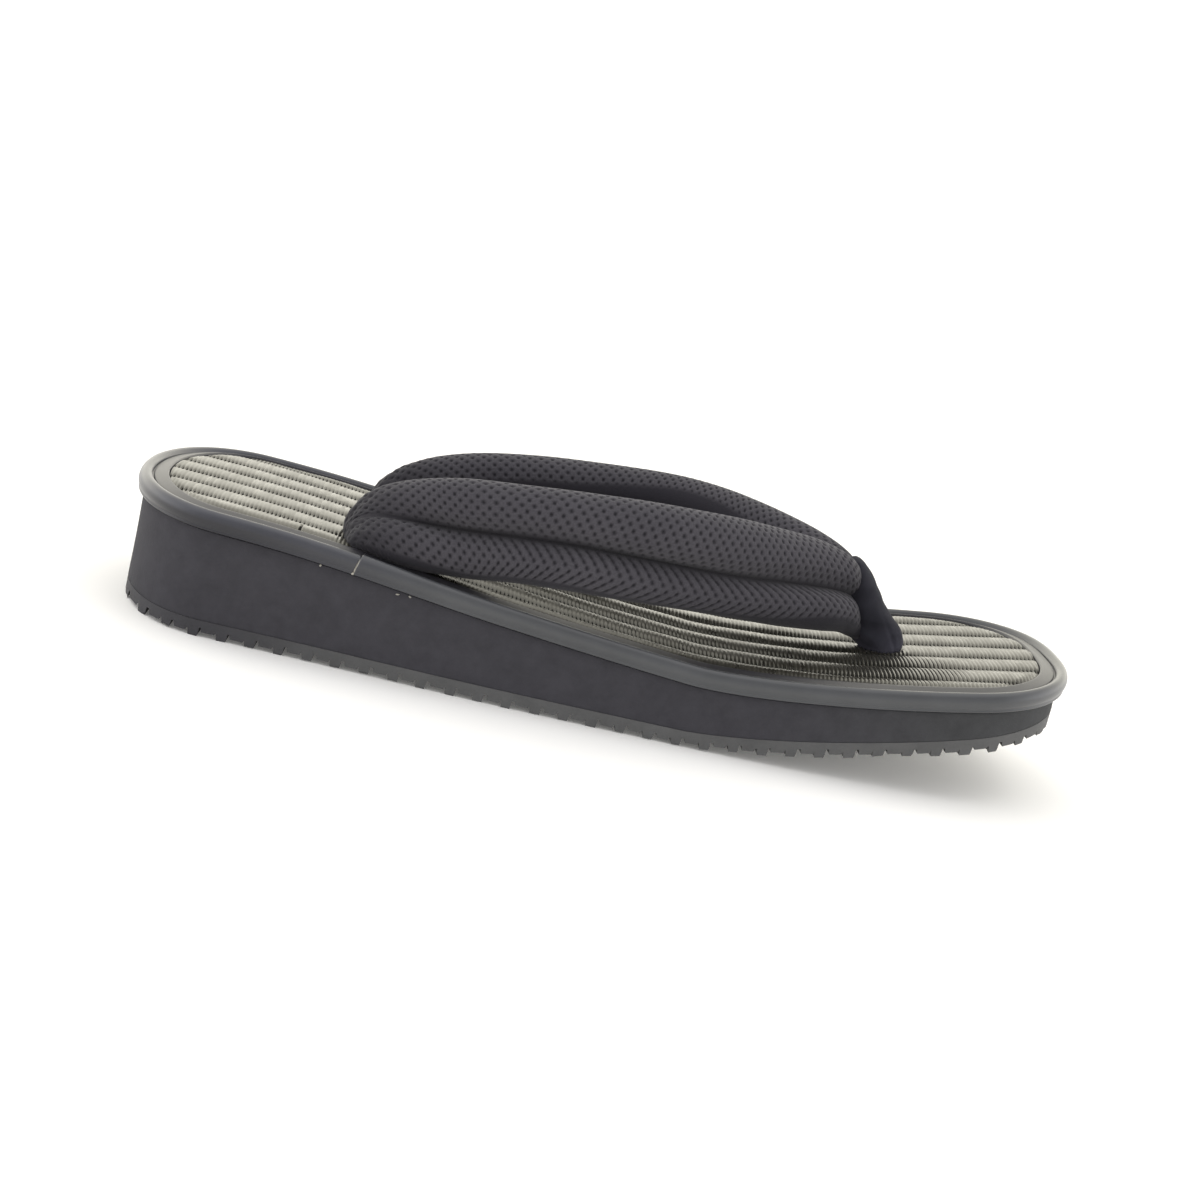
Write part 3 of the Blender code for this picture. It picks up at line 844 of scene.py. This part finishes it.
def velvet_finish():
    """Black velvet with uneven nap. Painted light makes it paler toward the mat."""
    finish, tree, shader = plain_finish("velvet", (0.03, 0.03, 0.04), 0.95, 0.15)
    shader.inputs["Sheen Weight"].default_value = 0.06
    shader.inputs["Sheen Roughness"].default_value = 0.5
    shader.inputs["Sheen Tint"].default_value = (0.4, 0.4, 0.48, 1.0)
    nap = noise_of(tree, 260.0, 3.0)
    shade = blended(tree, nap, (0.02, 0.02, 0.026), (0.038, 0.037, 0.047))
    height, _, _ = cloth_place(tree)
    # painted light paler low down by the mat, and a little painted shade high up
    painted_light_by_height = remapped(tree, height, 27.0, 35.0, 2.5, 0.8)
    give(tree, blended(tree, 1.0, shade, painted_light_by_height, "MULTIPLY"), shader.inputs["Base Color"])
    roughen(tree, shader, noise_of(tree, 4500.0, 4.0), 0.6)
    return finish


make_post(velvet_finish())

# ---------------------------------------------------------------------------------- thong
# Each arm of the thong is a flat band sewn into two padded tubes in an open warp-knit mesh.
# It comes up through a hole beside the heel, stands over the mat and goes into the velvet loop.

# upper tube's middle x, y, z, lower tube's middle x, y, z, radius of the upper and of the lower
RIGHT_ARM = (
    (64.0, 22.8, 20.5, 64.6, 29.0, 20.5, 3.4, 3.4),
    (63.2, 23.4, 27.0, 64.6, 31.4, 26.8, 4.6, 4.6),
    (63.2, 24.6, 33.2, 65.4, 35.0, 30.8, 5.7, 5.6),
    (66.6, 28.0, 38.6, 69.4, 37.5, 32.9, 6.3, 6.1),
    (73.8, 32.1, 43.0, 76.6, 38.8, 34.3, 6.7, 6.6),
    (87.0, 35.8, 47.0, 90.7, 38.5, 35.4, 7.0, 6.8),
    (102.7, 37.3, 48.7, 103.4, 40.2, 37.4, 7.4, 6.6),
    (118.9, 37.4, 50.3, 117.2, 40.9, 38.4, 7.7, 6.5),
    (133.6, 36.5, 51.4, 131.3, 38.8, 38.6, 7.7, 6.5),
    (147.4, 33.4, 51.3, 146.1, 34.6, 38.8, 7.8, 6.5),
    (160.0, 27.3, 50.3, 160.6, 29.3, 38.5, 8.1, 6.5),
    (171.5, 19.6, 48.9, 174.6, 22.9, 37.8, 8.1, 6.6),
    (182.5, 11.8, 47.4, 186.6, 15.6, 37.3, 7.9, 6.5),
    (190.6, 6.8, 46.1, 193.8, 9.2, 36.5, 6.9, 6.2),
    (195.2, 4.4, 45.1, 197.6, 5.6, 35.2, 6.0, 6.1),
    (197.8, 3.2, 43.8, 199.9, 4.0, 34.4, 5.4, 6.0),
    (199.8, 2.4, 42.4, 201.6, 2.8, 34.0, 4.6, 5.6),
)
LEFT_ARM = (
    (66.0, 22.8, 20.5, 68.0, 29.0, 20.5, 3.4, 3.4),
    (65.4, 23.2, 27.0, 68.6, 31.0, 26.8, 4.6, 4.6),
    (66.0, 24.2, 32.2, 69.6, 34.0, 31.2, 5.7, 5.4),
    (69.8, 26.4, 36.2, 73.4, 36.8, 33.6, 6.2, 5.9),
    (77.0, 29.2, 39.8, 80.4, 39.0, 34.8, 6.6, 6.4),
    (89.0, 31.6, 43.1, 92.0, 40.4, 35.1, 7.0, 6.7),
    (103.5, 33.0, 45.3, 104.2, 40.7, 35.9, 7.4, 6.6),
    (119.0, 33.6, 47.1, 117.5, 40.2, 36.7, 7.6, 6.5),
    (133.6, 33.3, 48.6, 131.3, 37.9, 37.1, 7.7, 6.5),
    (147.4, 31.2, 49.3, 146.1, 33.6, 37.8, 7.8, 6.5),
    (160.0, 26.2, 49.0, 160.6, 28.2, 37.9, 8.0, 6.5),
    (171.5, 19.2, 48.2, 174.6, 22.5, 37.7, 8.0, 6.6),
    (182.5, 11.8, 46.8, 186.6, 15.6, 37.3, 7.8, 6.5),
    (190.6, 6.8, 45.6, 193.8, 9.2, 36.5, 6.9, 6.2),
    (195.2, 4.4, 45.0, 197.6, 5.6, 35.2, 6.0, 6.1),
    (197.8, 3.2, 43.8, 199.9, 4.0, 34.4, 5.4, 6.0),
    (199.8, 2.4, 42.4, 201.6, 2.8, 34.0, 4.6, 5.6),
)
LOBE_SPREAD = (0.7, 0.93)  # least and most from one tube's middle to the other's, in both radii
OPENING_PITCH = 2.75       # openings of the mesh along the arm
OPENING_ROWS = (25, 20)    # rows of openings round the upper and the lower tube
OPENING_DEPTH = 0.36
STEPS_ALONG = 7            # points per opening
STEPS_AROUND = 4
OPEN_REAR = (5.0, 18.0)    # the mesh opens up over this length from the rear end
OPEN_FRONT = (2.0, 7.0)    # and closes over this one, measured back from the front end
LEAN = (0.35, 0.75)        # how askew the net lies on the upper and on the lower tube
LEAN_START = (26.0, 60.0)  # it comes to lie askew over this length
GATHER = (15.0, 33.0)      # over this length the two tubes part from one gathered end
RUCK_DEPTH = 0.12          # small rucks of the gathered end
GATHER_SHADE = 0.42        # how much of the mesh's colour painted shade leaves at the gathered end
VALLEY_EDGE = 0.86         # the valley between the tubes starts at this share of the way round
VALLEY_PINCH = (0.72, 0.3) # from this share on the tubes are pinched by up to the second share
LINING_TURN = (0.75, 0.68) # the smooth lining starts this far round from the crown and the foot
LINING_DEPTH = 0.15        # it lies this far under the mesh
# what changes toward the front end: from one distance before it to another, and by how much
FRONT_PRESSED = (11.0, 2.0, 0.35)      # the tubes lie flatter against the toe post
FRONT_SHADE = (15.0, 2.0, 0.5)         # painted shade darkens them where they are sewn in
FRONT_LINING = (45.0, 15.0, 0.32)      # the lining starts further round
# soft creases: place along the arm, turn from the outer middle of both tubes in tube heights
# (the upper tube is 1 to 0, the lower one 0 to -1), slant, half length, half height, depth
ARM_CREASES = (
    (13.0, 0.66, -0.03, 5.0, 0.09, 0.22),
    (16.5, 0.42, 0.02, 7.5, 0.07, 0.32),
    (12.0, 0.2, 0.04, 4.0, 0.08, 0.22),
    (19.0, 0.02, -0.01, 8.5, 0.08, 0.36),
    (13.5, -0.26, 0.03, 5.0, 0.08, 0.26),
    (19.0, -0.62, 0.0, 7.0, 0.08, 0.3),
    (157.0, -0.3, 0.0, 9.0, 0.07, 0.25),
    (160.0, 0.3, 0.0, 8.0, 0.08, 0.2),
    (74.0, 0.62, 0.0, 9.0, 0.25, 0.16),
    (112.0, -0.5, 0.0, 8.0, 0.25, 0.14),
)


def opening_share(along, row, lean):
    """1 in the middle of an opening of the mesh, 0 on its yarns.

    The net has yarns on both diagonals. With lean over 0 those of one diagonal stand out, and
    the openings run together along it, as where the cloth is pulled askew.
    """
    a = 2.0 * math.pi * (along / OPENING_PITCH + row / 2.0)
    b = 2.0 * math.pi * (along / OPENING_PITCH - row / 2.0)
    share = ((1.0 + lean) * np.cos(a) + (1.0 - lean) * np.cos(b)) / 2.0
    return smooth_step(0.12, 0.95, share)


def arm_line(table):
    """Places along an arm, how far each is from the front end, and both tubes there."""
    table = [(float(k), *row) for k, row in enumerate(table)]
    fine = np.linspace(0.0, len(table) - 1.0, 2000)
    track = np.stack([between(table, k, fine) for k in range(1, 9)], 1)
    middle = (track[:, 0:3] + track[:, 3:6]) / 2.0
    run = np.concatenate(([0.0], np.cumsum(np.linalg.norm(np.diff(middle, axis=0), axis=1))))
    at = np.arange(0.0, run[-1], OPENING_PITCH / STEPS_ALONG)
    rows = np.stack([np.interp(at, run, track[:, k]) for k in range(8)], 1)
    return at, run[-1] - at, rows[:, 0:3], rows[:, 3:6], rows[:, 6:8].T


def arm_crease(at, height):
    """How deep the creases of the arm's outside are."""
    crease = np.zeros_like(at)
    for middle, up, slant, half_long, half_high, depth in ARM_CREASES:
        rise = (height - up - slant * (at - middle)) / half_high
        near = ((at - middle) / half_long) ** 2 + rise**2
        crease = crease + depth * np.exp(-near)
    return crease


def front_change(change, ahead):
    """0 well behind the front end of an arm, and the full change at it."""
    start, end, amount = change
    return amount * smooth_step(start, end, ahead)


def make_arm(name, table, side, finish):
    """Lines along the two tubes, side by side round them, dented at each opening of the mesh."""
    at, ahead, upper, lower, radii = arm_line(table)
    centre = (upper + lower) / 2.0
    along = np.gradient(centre, axis=0)
    along /= np.linalg.norm(along, axis=1)[:, None]
    band = upper - lower
    apart = np.linalg.norm(band, axis=1)
    band /= apart[:, None]
    apart = np.clip(apart, LOBE_SPREAD[0] * sum(radii), LOBE_SPREAD[1] * sum(radii))
    out = np.cross(along, band)
    out /= np.linalg.norm(out, axis=1)[:, None]
    parted = smooth_step(*GATHER, at)
    gathered = 1.0 - parted
    opened = smooth_step(*OPEN_REAR, at) * smooth_step(*OPEN_FRONT, ahead)
    foot = LINING_TURN[1] + front_change(FRONT_LINING, ahead)
    lines = []
    places = []
    for lobe, radius, other in ((1.0, *radii), (-1.0, *radii[::-1])):
        valley = (apart**2 + radius**2 - other**2) / (2.0 * apart)
        most = math.pi - np.arccos(valley / radius)
        count = OPENING_ROWS[0 if lobe > 0.0 else 1] * STEPS_AROUND
        for k in range(count):
            # the share goes from -1 to 1 round the tube, from the valley back to the valley
            share = 2.0 * k / count - 1.0
            turn = most * share
            height = lobe * (1.0 - abs(share))
            outer = -share * lobe
            # the mesh covers the outside, a smooth lining the inside and the foot
            if lobe > 0.0:
                lining = smooth_step(-0.1, 0.1, turn - LINING_TURN[0])
            else:
                lining = smooth_step(0.1, -0.1, turn - foot)
            # clear falls to 0 in the valley between the tubes, where the openings fade out and
            # painted shade darkens the mesh
            clear = smooth_step(1.0, VALLEY_EDGE, abs(share))
            lean = lean_of(height, outer) * smooth_step(*LEAN_START, at)
            opening = opening_share(at, k / STEPS_AROUND, lean) * (1.0 - lining) * clear * opened
            ruck = np.sin(2.1 * at + 9.0 * height) * np.sin(1.3 * at - 14.0 * height)
            dent = OPENING_DEPTH * opening + LINING_DEPTH * lining + RUCK_DEPTH * ruck * gathered
            if outer > 0.0:
                dent = dent + arm_crease(at, height)
            reach = radius - dent
            across = apart / 2.0 + (reach * np.cos(turn) if k else -valley)
            pinch = VALLEY_PINCH[1] * smooth_step(VALLEY_PINCH[0], 1.0, abs(share)) * parted
            off = reach * np.sin(turn) * (1.0 - pinch) * (1.0 - front_change(FRONT_PRESSED, ahead))
            # the gathered end has no valley: its sides go flat from one tube to the other
            flat = np.sign(share) * np.maximum(reach, np.abs(off))
            off = np.where(np.abs(turn) > math.pi / 2.0, off * parted + flat * gathered, off)
            point = centre + lobe * (band * across[:, None] + out * off[:, None])
            lines.append(point * (1.0, side, 1.0))
            # what painted shade leaves of the mesh's colour: in the valley, at the gathered end and
            # by the front end
            shade = 1.0 - front_change(FRONT_SHADE, ahead)
            unshaded_share = (clear * parted + GATHER_SHADE * gathered) * shade
            plain = np.broadcast_to(lining, at.shape)
            places.append(np.column_stack((plain, opening, unshaded_share)))
    total = len(lines)
    length = len(at)
    faces = [*grid_faces(total, length, True, False)]
    faces += [tuple(np.arange(total) * length), tuple(np.arange(total) * length + length - 1)]
    return add_piece(name, lines, faces, None, finish, np.concatenate(places), 80.0)


def lean_of(height, outer):
    """How the net is pulled askew: on the lower tube one way above its middle, one way below."""
    if height > 0.0:
        return LEAN[0] * outer
    return LEAN[1] * math.tanh((height + 0.45) / 0.12)


def mesh_cloth():
    """Black warp-knit mesh over a black lining, which shows on the inside and in its openings.
    The openings are painted darker than the lining, as painted shade, and painted shade also
    darkens the valley between the tubes, the gathered end and the front end.
    """
    finish, tree, shader = plain_finish("mesh cloth", (0.05, 0.048, 0.053), 0.9, 0.2)
    shader.inputs["Sheen Weight"].default_value = 0.12
    shader.inputs["Sheen Roughness"].default_value = 0.5
    lining, opening, unshaded_share = cloth_place(tree)
    yarn = noise_of(tree, 2600.0, 3.0)
    color = blended(tree, yarn, (0.04, 0.037, 0.043), (0.092, 0.087, 0.098))
    worn = noise_of(tree, 60.0, 2.0)
    color = blended(tree, worn, color, (0.78, 0.78, 0.8), "MULTIPLY")
    # the lining shows in the openings, painted darker than the lining as painted shade
    color = blended(tree, opening, color, (0.012, 0.011, 0.014))
    # painted shade: near black in the valley, at the gathered end and by the front end
    color = blended(tree, unshaded_share, (0.014, 0.013, 0.016), color)
    color = blended(tree, lining, color, (0.026, 0.024, 0.03))
    give(tree, color, shader.inputs["Base Color"])
    roughen(tree, shader, yarn, 0.5)
    return finish


mesh = mesh_cloth()
for arm_name, arm_table, arm_side in (
    ("thong_right_arm", RIGHT_ARM, -1.0),
    ("thong_left_arm", LEFT_ARM, 1.0),
):
    arm = make_arm(arm_name, arm_table, arm_side, mesh)
    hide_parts("straps")

# ------------------------------------------------------------------------ floor, light, camera
# A white floor that runs out of sight, a bright sky all round that is dimmer on the viewer's
# side and warmer on the far side, and one large soft lamp overhead, a little behind the sandal.

FLOOR_REACH = 60.0
LOW_SKY = 2.3              # brightness of the white walls
HIGH_SKY = 1.3             # and of the ceiling
NEAR_SKY = 0.45            # how much of that is left on the viewer's side
SUN = 0.4                  # strength of the lamp


def make_floor():
    """A flat white sheet, slightly lit up so that it stays white close to the sandal."""
    mesh = bpy.data.meshes.new("floor")
    r = FLOOR_REACH
    mesh.from_pydata([(-r, -r, 0.0), (r, -r, 0.0), (r, r, 0.0), (-r, r, 0.0)], [], [(0, 1, 2, 3)])
    finish, _, shader = plain_finish("pale floor", (0.93, 0.92, 0.895), 0.7, 0.2)
    shader.inputs["Emission Color"].default_value = (1.0, 0.99, 0.96, 1.0)
    shader.inputs["Emission Strength"].default_value = 0.1
    mesh.materials.append(finish)
    floor = bpy.data.objects.new("floor", mesh)
    bpy.context.scene.collection.objects.link(floor)


def make_sky():
    """White walls and a dimmer ceiling, dim on the viewer's side and warmer on the far side."""
    world = bpy.data.worlds.new("sky")
    bpy.context.scene.world = world
    world.use_nodes = True
    tree = world.node_tree
    back = tree.nodes["Background"]
    place = node_of(tree, "ShaderNodeTexCoord")
    apart = node_of(tree, "ShaderNodeSeparateXYZ")
    give(tree, place.outputs["Generated"], apart.inputs[0])
    _, left, up = apart.outputs
    side = remapped(tree, left, -0.75, 0.0, NEAR_SKY, 1.0, "SMOOTHSTEP")
    height = remapped(tree, up, 0.2, 0.7, LOW_SKY, HIGH_SKY, "SMOOTHSTEP")
    give(tree, math_of(tree, "MULTIPLY", side, height), back.inputs["Strength"])
    far = remapped(tree, left, 0.1, 0.8)
    tint = blended(tree, far, (0.985, 0.985, 1.0), (1.0, 0.97, 0.86))
    give(tree, tint, back.inputs["Color"])


def make_sun():
    """A very wide soft lamp high up behind the sandal."""
    lamp = bpy.data.lights.new("soft_sun", "SUN")
    lamp.angle = math.radians(90.0)
    lamp.energy = SUN
    lamp.color = (1.0, 0.99, 0.97)
    thing = bpy.data.objects.new("soft_sun", lamp)
    thing.rotation_euler = (math.radians(-12.0), math.radians(-8.0), 0.0)
    bpy.context.scene.collection.objects.link(thing)


def make_camera():
    """The viewing angle: right of the sandal, a little above, with the camera rolled."""
    camera = bpy.data.cameras.new("camera")
    camera.lens = 61.0
    camera.clip_end = 100.0
    thing = bpy.data.objects.new("camera", camera)
    bpy.context.scene.collection.objects.link(thing)
    place = Vector((-0.04055, -0.55237, 0.14635))
    forward = Vector((-0.0522, 0.9666, -0.2507))
    right = Vector((0.9743, 0.1044, 0.1995))
    # the least turn that brings the sandal's middle to the middle of the frame
    aim = Vector((0.0, 0.0, 0.0225)) - place
    turn = forward.rotation_difference(aim)
    forward = aim.normalized()
    right = turn @ right
    right = (right - forward * right.dot(forward)).normalized()
    up = right.cross(forward)
    turned = Matrix((right, up, -forward)).transposed().to_4x4()
    thing.matrix_world = Matrix.Translation(place) @ turned
    bpy.context.scene.camera = thing


make_floor()
make_sky()
make_sun()
make_camera()
bpy.context.scene.view_settings.view_transform = "Standard"
